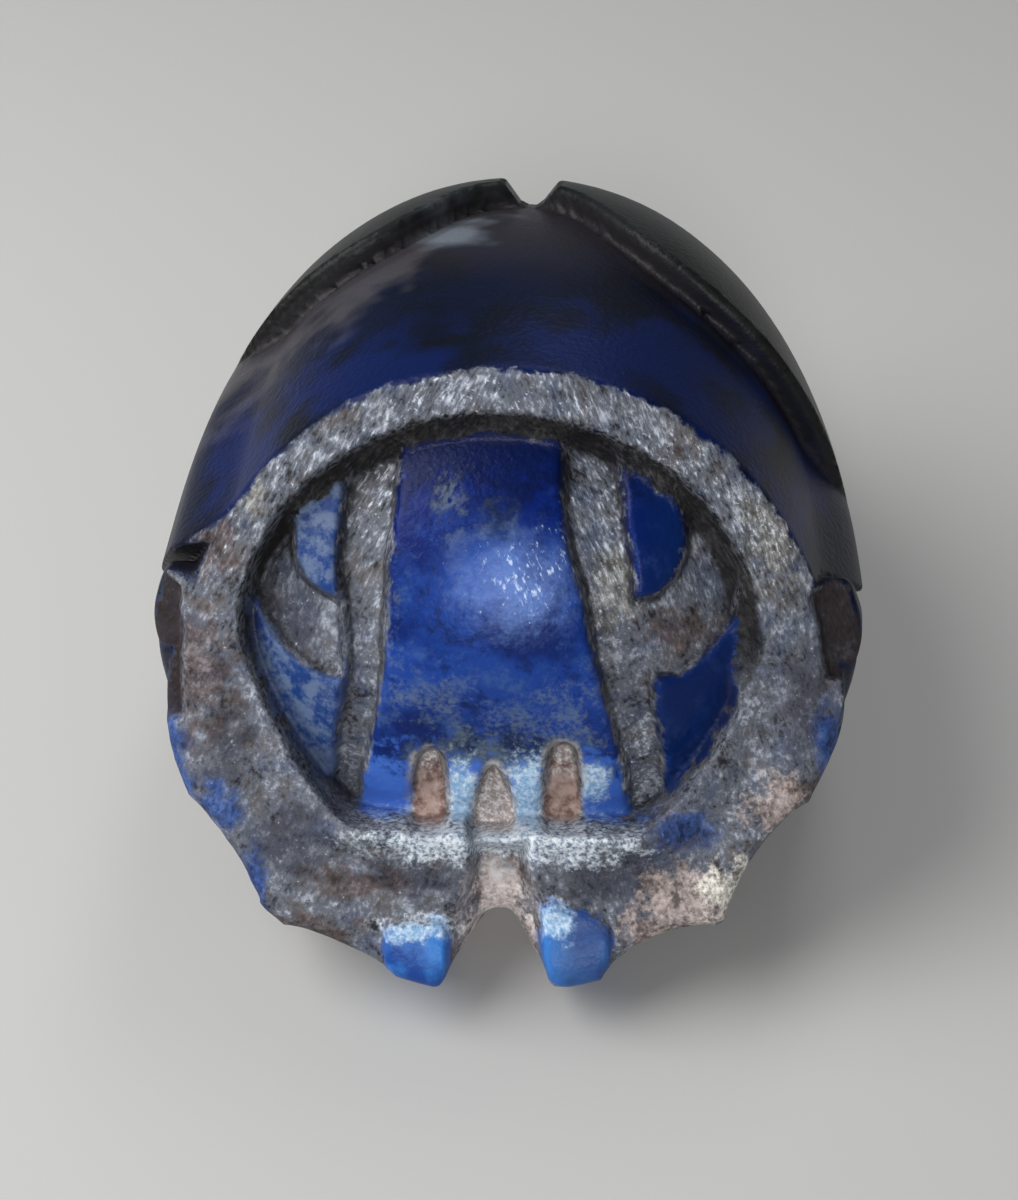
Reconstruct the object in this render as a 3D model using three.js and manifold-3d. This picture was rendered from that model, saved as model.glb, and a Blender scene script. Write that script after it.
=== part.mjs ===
// A scarab amulet carved from one pebble of lapis lazuli.
// The beetle lies on its flat belly: +Z is up, its head looks towards -Y, millimetres throughout.
// The stone is one solid: wing cases, thorax, legs, the sloping face and its six-toothed head shield.
import * as THREE from 'three';
import { mergeVertices } from 'three/addons/utils/BufferGeometryUtils.js';
import Module from 'manifold-3d';

const wasm = await Module();
wasm.setup();

// ---------------------------------------------------------------- driving sizes, millimetres
const HALF_WIDTH = 6.45;        // half the width over the wing cases
const DOME_Z = 2.7;             // level where the body is widest
const DOME_HEIGHT = 7.8;        // from that level up to the top of the back
const DOME_BELOW = 6.2;         // curve of the sides below that level
const DOME_Y = -2.3;            // station of the fullest cross-section
const BACK_LENGTH = 10.65;      // from there to the tail
const FRONT_LENGTH = 10.1;      // from there to where the uncut dome would end
const BACK_POWER = 2.2;         // roundness of the tail
const FRONT_POWER = 4.1;        // the front keeps its width for longer
const SECTION_POWER = 2.1;      // roundness of the cross-section

const STEP = 0.5;               // the wing cases stand this proud of the thorax
const STEP_FADE = [5.95, 7.2];  // levels between which that step dies away down the sides
const STEP_TILT = 0.125;        // lower on the right side, higher on the left
const JOINT_Y = 0.2;            // station of the line between thorax and wing cases far out at the sides
const JOINT_PEAK = 3.0;         // and how much further back it lies at the middle
const JOINT_SPREAD = 1.7;       // half width of that peak
const JOINT_TILT = -0.16;       // the line runs askew
const JOINT_LAP = 0.35;         // the thorax runs on under the wing cases
const SUTURE_X = 0.12;          // the line between the wing cases is a little off centre
const SUTURE_FLOOR = 0.2;       // half width at its floor
const SUTURE_MOUTH = 0.53;      // half width at the surface

const EDGE_LOW = 2.3;           // lower rim of the wing cases towards the tail
const EDGE_RISE = 4.5;          // how much higher that rim is at the face
const EDGE_FROM_Y = -4.4;
const EDGE_RUN = 3.0;
const CORE_INSET = 0.5;         // the body between the legs, and the floor of the suture, lie this far in
const LEG_INSET = 0.04;
// each leg lies along the side as a rounded bar: [from y, z], [to y, z], half width
const LEGS = [
  [[-4.65, 5.95], [-3.3, 0.6], 0.62],
  [[-2.3, 3.3], [-0.3, 0.5], 0.66],
  [[0.7, 2.7], [3.1, 0.5], 0.62],
  [[4.0, 2.2], [6.1, 0.5], 0.52],
];

// the face is a plane that slopes back from the front edge of the head shield: u across, v up, n out
const FACE_SLOPE = THREE.MathUtils.degToRad(56.5);
const TIP_Y = -8.5;
const TIP_Z = 0.85;

// the head shield is a fan with three teeth a side around this point of the face
const FAN_V = 5.6;
const FAN_DRAFT = 0.08;         // the stone behind the shield widens by this share of the depth
// each tooth reaches from and to so many degrees off the middle, at its radius
const RIGHT_TEETH = [[8, 18, 5.73], [39, 41, 5.80], [65, 67, 5.66]];
const LEFT_TEETH = [[8, 17.5, 5.77], [37.5, 43, 5.94], [64, 66, 5.88]];
// depths of the hollows between the teeth; a power under 1 makes them round-bottomed
const RIGHT_HOLLOWS = [0.38, 0.36];
const LEFT_HOLLOWS = [0.22, 0.24];
const HOLLOW_ROUND = 0.65;
const HOLLOW_STEPS = 8;
const CHEEK_RADIUS = 5.86;
const NOTCH_V = 1.475;          // where the sides of the V between the two middle teeth would meet
const NOTCH_HALF = 0.90;        // its half width at the front edge
const NOTCH_ROUND = 0.22;       // half width at its rounded apex
const NOTCH_APEX = NOTCH_V * (1 - NOTCH_ROUND / NOTCH_HALF);
const CHEEK_FLARE = 0.35;       // the cheeks widen upwards by this share

// the opening in which the head lies, ringed by the rim of the thorax, the cheeks and the shield
const POCKET = { u: -0.22, v: 5.75, ru: 4.15, rv: 3.40 };
const POCKET_FOOT = 2.8;        // half width where it meets the shield
const POCKET_FLARE = 0.55;      // and how it widens upwards from there
const RIDGE_V = 2.74;           // rear ridge of the shield
const POCKET_FLOOR = -1.8;
const POCKET_OVERLAP = 0.3;
const WALL_REACH = 2;           // the wall above the head slants outwards, at the top and on the right
const WALL_FADE = 1.1;          // and gets steep over this height on the lower right

// straight grooves on both sides of the middle panel, from the top down: u, v, half width
const STRAIGHT_GROOVES = [
  [[-2.08, 9.8, 0.38], [-2.28, 7.3, 0.45], [-2.24, 5.4, 0.33], [-2.72, 2.9, 0.26]],
  [[1.32, 9.8, 0.40], [1.42, 7.9, 0.49], [1.72, 6.6, 0.42], [2.0, 5.5, 0.45], [2.48, 3.0, 0.32]],
];
// crescents under the eyes: an oval less a smaller oval, kept on the outer side of the panel
const CRESCENTS = [
  { side: -1, u: -2.60, v: 7.00, ru: 1.62, rv: 1.78, eyeU: -2.62, eyeV: 7.49, eyeRu: 0.88, eyeRv: 0.97 },
  { side: 1, u: 2.00, v: 7.00, ru: 1.85, rv: 1.75, eyeU: 2.20, eyeV: 7.75, eyeRu: 0.72, eyeRv: 1.05 },
];
const GROOVE_DEPTH = 0.34;
// three small pits where the head meets the shield: u, v, half width, half length
const PITS = [[-1.21, 3.32, 0.34, 0.68], [-0.13, 3.20, 0.40, 0.62], [1.02, 3.44, 0.36, 0.72]];
const PIT_DEPTH = 0.75;
// polished pads on the two middle teeth: u, v, half width, half length, tilt of their upper edge
const PADS = [[-1.37, 0.44, 0.55, 0.66, 0], [1.31, 0.66, 0.60, 0.74, -0.38]];
const PAD_HEIGHT = 0.16;
const PAD_ROUND = 0.08;
// the outer strip of each cheek lies lower, where the front leg shows: side, then its corners u, v
const CHEEK_STRIPS = [
  [-1, [[5.40, 4.4], [5.40, 6.60], [7.4, 8.4], [7.4, 4.4]]],
  [1, [[5.32, 5.3], [5.04, 6.75], [7.4, 9.3], [7.4, 5.3]]],
];
const STRIP_FLOOR = -0.3;
const RIDGE = { v: 2.58, n: -0.14, ru: 2.4, rv: 0.45, rn: 0.3 };  // n is counted from the ring's surface
const CHANNEL_DEPTH = 0.55;     // channel that runs from the pits into the V
const CHANNEL_TOP = 2.25;
const CHANNEL_HALF = 0.3;       // half width of its floor
const CHANNEL_MOUTH = [0.87, 0.55];  // half width at the shield's surface, between the pads and at the top

// ---------------------------------------------------------------- helpers
const smooth = (from, to, x) => THREE.MathUtils.smoothstep(x, from, to);

function solid(geometry) {
  const plain = geometry.clone();
  for (const name of Object.keys(plain.attributes)) {
    if (name !== 'position') plain.deleteAttribute(name);
  }
  const merged = mergeVertices(plain, 1e-4);
  return new wasm.Manifold(new wasm.Mesh({
    numProp: 3,
    vertProperties: new Float32Array(merged.attributes.position.array),
    triVerts: new Uint32Array(merged.index.array),
  }));
}

function joined(solids) {
  return solids.reduce((whole, next) => whole.add(next));
}

function moveVertices(geometry, move) {
  const position = geometry.attributes.position;
  const point = new THREE.Vector3();
  for (let i = 0; i < position.count; i += 1) {
    point.fromBufferAttribute(position, i);
    move(point);
    position.setXYZ(i, point.x, point.y, point.z);
  }
  return geometry;
}

function outline(points) {
  return new THREE.Shape(points.map(([x, y]) => new THREE.Vector2(x, y)));
}

// a shape drawn in plan (x, y) and raised from one level to another
function planPrism(shape, low, high) {
  const geometry = new THREE.ExtrudeGeometry(shape, { depth: high - low, bevelEnabled: false });
  return solid(geometry.translate(0, 0, low));
}

// a shape drawn on the side view (y, z) and pushed right across the body
function sidePrism(shape) {
  const reach = HALF_WIDTH + 2;
  const options = { depth: 2 * reach, bevelEnabled: false, curveSegments: 10 };
  const geometry = new THREE.ExtrudeGeometry(shape, options);
  geometry.translate(0, 0, -reach);
  geometry.applyMatrix4(new THREE.Matrix4().makeBasis(
    new THREE.Vector3(0, 1, 0), new THREE.Vector3(0, 0, 1), new THREE.Vector3(1, 0, 0)));
  return solid(geometry);
}

const faceFrame = new THREE.Matrix4().makeBasis(
  new THREE.Vector3(1, 0, 0),
  new THREE.Vector3(0, Math.cos(FACE_SLOPE), Math.sin(FACE_SLOPE)),
  new THREE.Vector3(0, -Math.sin(FACE_SLOPE), Math.cos(FACE_SLOPE)),
).setPosition(0, TIP_Y, TIP_Z);

// a shape drawn on the face (u, v) and pushed along n
function facePrism(shape, low, high, steps = 1, move = null) {
  const options = { depth: high - low, steps, bevelEnabled: false, curveSegments: 10 };
  const geometry = new THREE.ExtrudeGeometry(shape, options);
  geometry.translate(0, 0, low);
  if (move) moveVertices(geometry, move);
  return solid(geometry.applyMatrix4(faceFrame));
}

// an egg shape on the face
function faceEgg(u, v, n, ru, rv, rn, segments = 16) {
  const geometry = new THREE.SphereGeometry(1, segments, Math.round(segments / 2));
  geometry.rotateX(Math.PI / 2);
  geometry.scale(ru, rv, rn).translate(u, v, n);
  return solid(geometry.applyMatrix4(faceFrame));
}

// a block on the face whose one side follows a height formula and whose other side is flat
function faceSheet(u0, u1, v0, v1, cells, height, flat) {
  const geometry = new THREE.BoxGeometry(1, 1, 1, cells[0], cells[1], 1);
  const above = flat > 0;
  moveVertices(geometry, (p) => {
    p.x = THREE.MathUtils.lerp(u0, u1, p.x + 0.5);
    p.y = THREE.MathUtils.lerp(v0, v1, p.y + 0.5);
    const onFlat = above ? p.z > 0 : p.z < 0;
    p.z = onFlat ? flat : height(p.x, p.y);
  });
  return solid(geometry.applyMatrix4(faceFrame));
}

// ---------------------------------------------------------------- the body's dome
// distance scale of the dome in a direction: 1 on its surface
function domeRatio(x, y, z) {
  const section = (Math.abs(x) ** SECTION_POWER + Math.abs(z) ** SECTION_POWER) ** (1 / SECTION_POWER);
  const power = y > 0 ? BACK_POWER : FRONT_POWER;
  return (section ** power + Math.abs(y) ** power) ** (1 / power);
}

function toDome(point, grow) {
  const ratio = domeRatio(point.x, point.y, point.z) || 1;
  point.divideScalar(ratio);
  const height = point.z > 0 ? DOME_HEIGHT : DOME_BELOW;
  const length = point.y > 0 ? BACK_LENGTH : FRONT_LENGTH;
  const inset = grow(DOME_Z + point.z * height, point.x * HALF_WIDTH);
  point.set(
    point.x * (HALF_WIDTH + inset),
    DOME_Y + point.y * (length + inset),
    DOME_Z + point.z * (height + inset),
  );
}

function dome(grow, around = 60, along = 30) {
  const geometry = new THREE.SphereGeometry(1, around, along);
  return solid(moveVertices(geometry, (p) => toDome(p, grow)));
}

// a wheel across the body whose rim follows the dome: its rim widens from the groove's floor to its mouth
function sutureWheel() {
  const floor = 1 - CORE_INSET / DOME_HEIGHT;
  const low = floor - 0.1;
  const wall = [[floor, SUTURE_FLOOR], [1, SUTURE_MOUTH], [1.1, SUTURE_MOUTH]];
  const side = [[0, SUTURE_FLOOR], [low, SUTURE_FLOOR], ...wall];
  const rim = [...side.map(([r, h]) => [r, -h]), ...side.reverse()];
  const geometry = new THREE.LatheGeometry(rim.map(([r, h]) => new THREE.Vector2(r, h)), 56);
  geometry.rotateZ(Math.PI / 2);
  return solid(moveVertices(geometry, (p) => {
    const across = p.x;
    const radius = Math.hypot(p.y, p.z);
    p.set(0, p.y, p.z);
    if (radius > 0) {
      p.divideScalar(radius);
      toDome(p, () => 0);
      p.set(0, DOME_Y + (p.y - DOME_Y) * radius, DOME_Z + (p.z - DOME_Z) * radius);
    } else {
      p.set(0, DOME_Y, DOME_Z);
    }
    p.x = SUTURE_X + across;
  }));
}

function jointLine(lap) {
  const line = [];
  for (let i = -16; i <= 16; i += 1) {
    const x = (i / 16) * (HALF_WIDTH + 1.5);
    const peak = JOINT_PEAK / (1 + (Math.abs(x) / JOINT_SPREAD) ** 3);
    line.push([x, JOINT_Y + lap + peak + JOINT_TILT * x]);
  }
  return line;
}

function aboveTheEdge() {
  const line = [];
  for (let i = 0; i <= 24; i += 1) {
    const y = -9 + i * 0.85;
    line.push([y, EDGE_LOW + EDGE_RISE * Math.exp(-(y - EDGE_FROM_Y) / EDGE_RUN)]);
  }
  return sidePrism(outline([...line, [11.4, 40], [-9, 40]]));
}

function legBar([[y0, z0], [y1, z1], half]) {
  const along = Math.atan2(z1 - z0, y1 - y0);
  const shape = new THREE.Shape();
  shape.absarc(y1, z1, half, along - Math.PI / 2, along + Math.PI / 2, false);
  shape.absarc(y0, z0, half, along + Math.PI / 2, along + 1.5 * Math.PI, false);
  return sidePrism(shape);
}

function body() {
  const reach = HALF_WIDTH + 1.5;
  const upper = aboveTheEdge();
  const behindJoint = planPrism(outline([...jointLine(0), [reach, 12], [-reach, 12]]), -6, 14);
  const ahead = outline([...jointLine(JOINT_LAP).reverse(), [-reach, -16], [reach, -16]]);
  const aheadOfJoint = planPrism(ahead, -6, 14);
  const wingCases = dome(() => 0).intersect(behindJoint).intersect(upper).subtract(sutureWheel());
  const stepDown = (z, x) => -STEP * smooth(...STEP_FADE, z + STEP_TILT * x);
  const thorax = dome(stepDown).intersect(aheadOfJoint).intersect(upper);
  const core = dome(() => -CORE_INSET);
  const legs = dome(() => -LEG_INSET).intersect(joined(LEGS.map(legBar)));
  return joined([core, wingCases, thorax, legs]);
}

// ---------------------------------------------------------------- the face
// the outer rim of one side of the shield, from the V to the cheek: degrees and radius
function fanRim(teeth, hollows) {
  const { lerp } = THREE.MathUtils;
  const rim = [];
  teeth.forEach(([start, stop, radius], i) => {
    rim.push([start, radius], [stop, radius]);
    const next = teeth[i + 1];
    if (!next) return;
    for (let k = 1; k < HOLLOW_STEPS; k += 1) {
      const t = k / HOLLOW_STEPS;
      const hollow = hollows[i] * Math.sin(Math.PI * t) ** HOLLOW_ROUND;
      rim.push([lerp(stop, next[0], t), lerp(radius, next[2], t) - hollow]);
    }
  });
  return [...rim, [90, CHEEK_RADIUS]];
}

function fanSide(teeth, hollows, side) {
  return fanRim(teeth, hollows).map(([degrees, radius]) => {
    const angle = THREE.MathUtils.degToRad(degrees);
    return [side * radius * Math.sin(angle), FAN_V - radius * Math.cos(angle)];
  });
}

// half width of the V at a height on the face, rounded at its apex
function notchHalf(v) {
  const straight = (NOTCH_HALF * (NOTCH_V - v)) / NOTCH_V;
  return Math.max(straight ** 4 - NOTCH_ROUND ** 4, 0) ** 0.25;
}

// an outline that is the same on both sides, from its right half at some heights
function evenSided(heights, half) {
  const right = heights.map((v) => [half(v), v]);
  return outline([...right, ...right.map(([u, v]) => [-u, v]).reverse()]);
}

function notch() {
  return facePrism(evenSided([-1, 0, 0.5, 0.9, 1.04, NOTCH_APEX - 0.01], notchHalf), -18, 18);
}

function headShieldPrism() {
  const top = 14;
  const outer = CHEEK_RADIUS + CHEEK_FLARE * (top - FAN_V);
  const shape = outline([...fanSide(RIGHT_TEETH, RIGHT_HOLLOWS, 1), [outer, top], [-outer, top],
    ...fanSide(LEFT_TEETH, LEFT_HOLLOWS, -1).reverse()]);
  const fan = facePrism(shape, -18, 18, 2, (p) => {
    const radius = Math.hypot(p.x, p.y - FAN_V) || 1;
    const wider = 1 + (FAN_DRAFT * Math.max(-p.z, 0)) / radius;
    p.x *= wider;
    p.y = FAN_V + (p.y - FAN_V) * wider;
  });
  return fan.subtract(notch());
}

// surface of the ring of thorax rim, cheeks and shield
function ringHeight(u, v) {
  const up = Math.max(v, 0);
  const roll = 0.022 * u * u * THREE.MathUtils.clamp(v / 4, 0.2, 1);
  const fromEdge = (Math.hypot(u, v - FAN_V) - 4.55) / 0.5;
  const hollow = v < FAN_V ? 0.16 * Math.exp(-fromEdge * fromEdge) * (1 - smooth(4, 5, Math.abs(u))) : 0;
  return 0.12 + 0.085 * up - roll - hollow;
}

// surface of the head inside that ring
function headHeight(u, v) {
  const dip = 0.35 * Math.exp(-(((v - 4.3) / 0.75) ** 2) - (u / 1.6) ** 2);
  return 1.25 - 0.075 * u * u - 0.112 * (v - 6.7) ** 2 - dip;
}

function pocketOutline(grow) {
  const points = [];
  const count = 60;
  for (let i = 0; i < count; i += 1) {
    const angle = (i / count) * 2 * Math.PI;
    const [c, s] = [Math.cos(angle), Math.sin(angle)];
    const oval = 1 / Math.hypot(c / POCKET.ru, s / POCKET.rv);
    const foot = s < 0 ? (POCKET.v - RIDGE_V) / -s : Infinity;
    // where the ray meets the sloping lower side
    const sideGap = POCKET_FOOT + POCKET_FLARE * (POCKET.v - RIDGE_V);
    const slope = Math.abs(c) - POCKET_FLARE * s;
    const side = slope > 0 ? sideGap / slope : Infinity;
    const radius = Math.min(oval, foot, side) + grow;
    points.push([POCKET.u + radius * c, POCKET.v + radius * s]);
  }
  return outline(points);
}

// the opening's wall, from the head's surface outwards
function slantedWall() {
  return facePrism(pocketOutline(0), 0, WALL_REACH, 1, (p) => {
    const slant = smooth(POCKET.v - WALL_FADE, POCKET.v, p.y);
    const across = slant * Math.max((p.x - POCKET.u) / POCKET.ru, 0);
    const up = Math.max((p.y - POCKET.v) / POCKET.rv, 0);
    const out = p.z;
    p.z += headHeight(p.x, p.y);
    p.x += out * across;
    p.y += out * up;
  });
}

function straightGroove(stations) {
  const left = stations.map(([u, v, half]) => [u - half, v]);
  const right = stations.map(([u, v, half]) => [u + half, v]);
  return facePrism(outline([...left, ...right.reverse()]), -3, 3);
}

function oval(u, v, ru, rv) {
  const shape = new THREE.Shape();
  shape.absellipse(u, v, ru, rv, 0, 2 * Math.PI, false, 0);
  return facePrism(shape, -3, 3);
}

function crescent(c) {
  const outer = c.u + c.side * (c.ru + 0.5);
  const keep = outline([[c.u, c.v - 3], [outer, c.v - 3], [outer, c.v + 3], [c.u, c.v + 3]]);
  return oval(c.u, c.v, c.ru, c.rv)
    .subtract(oval(c.eyeU, c.eyeV, c.eyeRu, c.eyeRv))
    .intersect(facePrism(keep, -4, 4));
}

function head() {
  const room = facePrism(pocketOutline(POCKET_OVERLAP), POCKET_FLOOR - 0.4, 4);
  const under = POCKET_FLOOR - 1;
  const skin = (inset) => faceSheet(-5, 5, 2, 10, [16, 15], (u, v) => headHeight(u, v) - inset, under);
  const grooves = joined([...STRAIGHT_GROOVES.map(straightGroove), ...CRESCENTS.map(crescent)]);
  return skin(0).subtract(grooves).add(skin(GROOVE_DEPTH)).intersect(room);
}

function pad([u, v, half, length, tilt]) {
  const points = [];
  for (let i = 0; i < 24; i += 1) {
    const angle = (i / 24) * 2 * Math.PI;
    const [c, s] = [Math.cos(angle), Math.sin(angle)];
    const radius = 1 / (c ** 6 + s ** 6) ** (1 / 6);
    const across = (half - PAD_ROUND) * radius * c;
    points.push([u + across, v + (length - PAD_ROUND) * radius * s + tilt * across]);
  }
  const top = ringHeight(u, v) + PAD_HEIGHT;
  const geometry = new THREE.ExtrudeGeometry(outline(points), {
    depth: 1, bevelEnabled: true, bevelThickness: PAD_ROUND, bevelSize: PAD_ROUND, bevelSegments: 3,
  });
  geometry.translate(0, 0, top - 1 - PAD_ROUND);
  return solid(geometry.applyMatrix4(faceFrame));
}

// the channel's floor follows the V at its lower end, and its sides slope outwards
function channel() {
  const floor = ringHeight(0, 1.8) - CHANNEL_DEPTH;
  const floorHalf = (v) => Math.max(CHANNEL_HALF, notchHalf(v));
  const mouthHalf = (v) => THREE.MathUtils.lerp(...CHANNEL_MOUTH, smooth(1.2, 2.2, v));
  const shape = evenSided([-0.8, 0, 0.5, 0.9, 1.2, 1.7, CHANNEL_TOP], floorHalf);
  return facePrism(shape, floor, floor + 2 * CHANNEL_DEPTH, 1, (p) => {
    if (p.z <= floor) return;
    p.x += Math.sign(p.x) * 2 * Math.max(mouthHalf(p.y) - floorHalf(p.y), 0.02);
    if (p.y > CHANNEL_TOP - 0.01) p.y += CHANNEL_DEPTH;
  });
}

function cheekStrip([side, corners]) {
  const shape = outline(corners.map(([u, v]) => [side * u, v]));
  return facePrism(shape, STRIP_FLOOR, 3);
}

function scarab() {
  const reach = HALF_WIDTH + 3;
  const air = faceSheet(-reach, reach, -3, 15, [28, 27], ringHeight, 12);
  const pads = PADS.map(pad);
  const pits = PITS.map(([u, v, ru, rv]) => faceEgg(u, v, headHeight(u, v), ru, rv, PIT_DEPTH));
  const ridge = faceEgg(0, RIDGE.v, ringHeight(0, RIDGE.v) + RIDGE.n, RIDGE.ru, RIDGE.rv, RIDGE.rn, 24);
  const pocket = facePrism(pocketOutline(0), POCKET_FLOOR, 6);
  const ground = new THREE.BoxGeometry(40, 40, 20).translate(0, 0, -10);
  return body()
    .subtract(air)
    .subtract(pocket.add(slantedWall()))
    .add(head())
    .add(joined([...pads, ridge]))
    .subtract(joined([...pits, channel(), ...CHEEK_STRIPS.map(cheekStrip)]))
    .intersect(headShieldPrism())
    .subtract(solid(ground));
}

// ---------------------------------------------------------------- the part
function meshOf(manifold) {
  const { vertProperties, triVerts, numProp } = manifold.getMesh();
  const geometry = new THREE.BufferGeometry();
  const position = new Float32Array((vertProperties.length / numProp) * 3);
  for (let i = 0; i < position.length / 3; i += 1) {
    for (let k = 0; k < 3; k += 1) position[3 * i + k] = vertProperties[numProp * i + k];
  }
  geometry.setAttribute('position', new THREE.BufferAttribute(position, 3));
  geometry.setIndex(new THREE.BufferAttribute(new Uint32Array(triVerts), 1));
  geometry.computeVertexNormals();
  return geometry;
}

const lapis = new THREE.MeshStandardMaterial({ name: 'lapis_lazuli', color: 0x1d3566, roughness: 0.42 });

const geometry = meshOf(scarab());
geometry.computeBoundingBox();
const centre = geometry.boundingBox.getCenter(new THREE.Vector3());
geometry.translate(-centre.x, -centre.y, -geometry.boundingBox.min.z);

const stone = new THREE.Mesh(geometry, lapis);
stone.name = 'scarab';

const amulet = new THREE.Group();
amulet.add(stone);

export default amulet;
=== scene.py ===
# %% [markdown]
# # A scarab amulet of carved lapis lazuli
# The real thing is one pebble, under two centimetres long, cut with small drills and abrasive sand
# into a beetle. The wing cases, the thorax and the middle of the head are polished. The ground
# between them was left rough from the tool. It is one solid, so the scene has one piece.
# The carved solid from the CAD model fixes every size here, and nothing may grow past it.

# %% Load the frame
import itertools
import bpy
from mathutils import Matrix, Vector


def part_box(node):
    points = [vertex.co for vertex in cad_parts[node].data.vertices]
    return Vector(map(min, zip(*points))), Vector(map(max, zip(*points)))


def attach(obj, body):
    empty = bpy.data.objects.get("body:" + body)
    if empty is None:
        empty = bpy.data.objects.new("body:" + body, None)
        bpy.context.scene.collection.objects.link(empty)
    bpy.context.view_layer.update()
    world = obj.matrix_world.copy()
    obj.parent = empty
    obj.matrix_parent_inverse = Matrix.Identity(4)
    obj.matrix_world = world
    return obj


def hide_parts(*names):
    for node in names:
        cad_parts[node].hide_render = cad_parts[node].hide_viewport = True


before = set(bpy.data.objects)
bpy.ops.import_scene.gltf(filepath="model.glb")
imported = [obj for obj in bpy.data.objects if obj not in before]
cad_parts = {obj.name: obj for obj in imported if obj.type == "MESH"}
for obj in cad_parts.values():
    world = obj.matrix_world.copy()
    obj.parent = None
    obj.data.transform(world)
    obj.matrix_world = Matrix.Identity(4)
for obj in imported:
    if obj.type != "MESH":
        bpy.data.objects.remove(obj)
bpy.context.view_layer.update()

from concurrent.futures import ThreadPoolExecutor

import bpy
import numpy as np
import openvdb
from mathutils import Matrix, Vector

MM = 0.001
stone_low, stone_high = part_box("scarab")
print("solid box in mm:", [round(size / MM, 2) for size in stone_high - stone_low])

# %% [markdown]
# ## The camera
# The beetle is looked at from in front of its head and above, as a hand would hold it.
# A long lens from a few centimetres away keeps the perspective natural at this tiny size.
# The camera is placed by an angle round the object, an angle above the floor and a distance,
# because those three are easy to reason about. A matrix then says where its axes point.

# %% Camera
VIEW_TURN = np.radians(2.3)
VIEW_RISE = np.radians(37.5)
VIEW_DISTANCE = 37.0
VIEW_TARGET = np.array([0.0, -1.5, 5.2])
SENSOR_WIDTH, FOCAL = 36, 61.05
CLIP_NEAR, CLIP_FAR = 0.001, 5
AIM_ACROSS = -0.0023
AIM_DOWN = 0.0364


def camera_axes():
    back = np.array([np.sin(VIEW_TURN) * np.cos(VIEW_RISE),
                     -np.cos(VIEW_TURN) * np.cos(VIEW_RISE),
                     np.sin(VIEW_RISE)])
    right = np.array([np.cos(VIEW_TURN), np.sin(VIEW_TURN), 0.0])
    return right, np.cross(back, right), back


def add_camera(middle_y):
    right, up, back = camera_axes()
    place = VIEW_TARGET + np.array([0, middle_y, 0]) + back * VIEW_DISTANCE
    look = Vector(-back + AIM_ACROSS * right - AIM_DOWN * up).normalized()
    side = Vector(right)
    side = (side - look * side.dot(look)).normalized()
    camera = bpy.data.objects.new("camera", bpy.data.cameras.new("camera"))
    camera.data.sensor_width = SENSOR_WIDTH
    camera.data.lens = FOCAL
    camera.data.clip_start = CLIP_NEAR
    camera.data.clip_end = CLIP_FAR
    turned = Matrix((side, side.cross(look), -look)).transposed().to_4x4()
    camera.matrix_world = Matrix.Translation(Vector(place) * MM) @ turned
    bpy.context.collection.objects.link(camera)
    bpy.context.scene.camera = camera


# %% [markdown]
# ## Small tools for carving with numbers
# A carving this worn has no straight edges or clean corners, so it isn't drawn as faces.
# Instead, a formula gives the distance from any point in space to the stone's surface: negative
# inside, positive outside. The smaller of two distances joins two forms, the larger one cuts
# one form with another, and a soft version of either leaves a worn, rounded edge.
# Box modelling could do it too, but every groove would have to be threaded through the mesh.

# %% Helpers: steps, soft joins and cuts, ovals
def blend(first, second, amount):
    return first + (second - first) * amount


def rise(low, high, value):
    t = np.clip((value - low) / (high - low), 0, 1)
    return t * t * (3 - 2 * t)


def soft_join(first, second, width):
    h = np.maximum(width - np.abs(first - second), 0) / width
    return np.minimum(first, second) - h * h * width * 0.25


def soft_cut(first, second, width):
    return -soft_join(-first, -second, width)


def oval(u, v, middle, radii):
    a, b = (u - middle[0]) / radii[0], (v - middle[1]) / radii[1]
    near = np.sqrt(a * a + b * b) + 1e-9
    slope = np.sqrt((a / radii[0]) ** 2 + (b / radii[1]) ** 2) + 1e-9
    return near * (near - 1) / slope


def bar(a, b, start, end, half):
    da, db = end[0] - start[0], end[1] - start[1]
    t = np.clip(((a - start[0]) * da + (b - start[1]) * db) / (da * da + db * db), 0, 1)
    return np.hypot(a - start[0] - t * da, b - start[1] - t * db) - half


# %% Helper: smooth random values for worn edges and grain
def grain(x, y, z, size, seed):
    """Values from -1 to 1 that change over about `size` millimetres, the same on every run."""
    place = np.stack([x, y, z]) / size
    cell = np.floor(place)
    part = place - cell
    part = part * part * (3 - 2 * part)
    cell = cell.astype(np.int64)
    total = np.zeros_like(part[0])
    for corner in itertools.product((0, 1), repeat=3):
        i, j, k = (cell[axis] + corner[axis] for axis in range(3))
        key = (i * 73856093) ^ (j * 19349663) ^ (k * 83492791) ^ (seed * 2654435761)
        key = ((key ^ (key >> 13)) * 1274126177) & 0xFFFFFFFF
        value = ((key ^ (key >> 16)) & 0xFFFF) / 32767.5 - 1
        for axis in range(3):
            value = value * (part[axis] if corner[axis] else 1 - part[axis])
        total += value
    return total


# %% [markdown]
# ## The body
# The pebble was first ground to a dome. A stretched ball is close, but a real dome keeps its
# width for longer towards the head, so its powers differ from 2: that is a superellipsoid.
# Dividing its value by its own slope turns it into a fair distance, which the later steps need.
# The thorax lies a step lower than the wing cases, and a groove parts the two wing cases.

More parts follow.
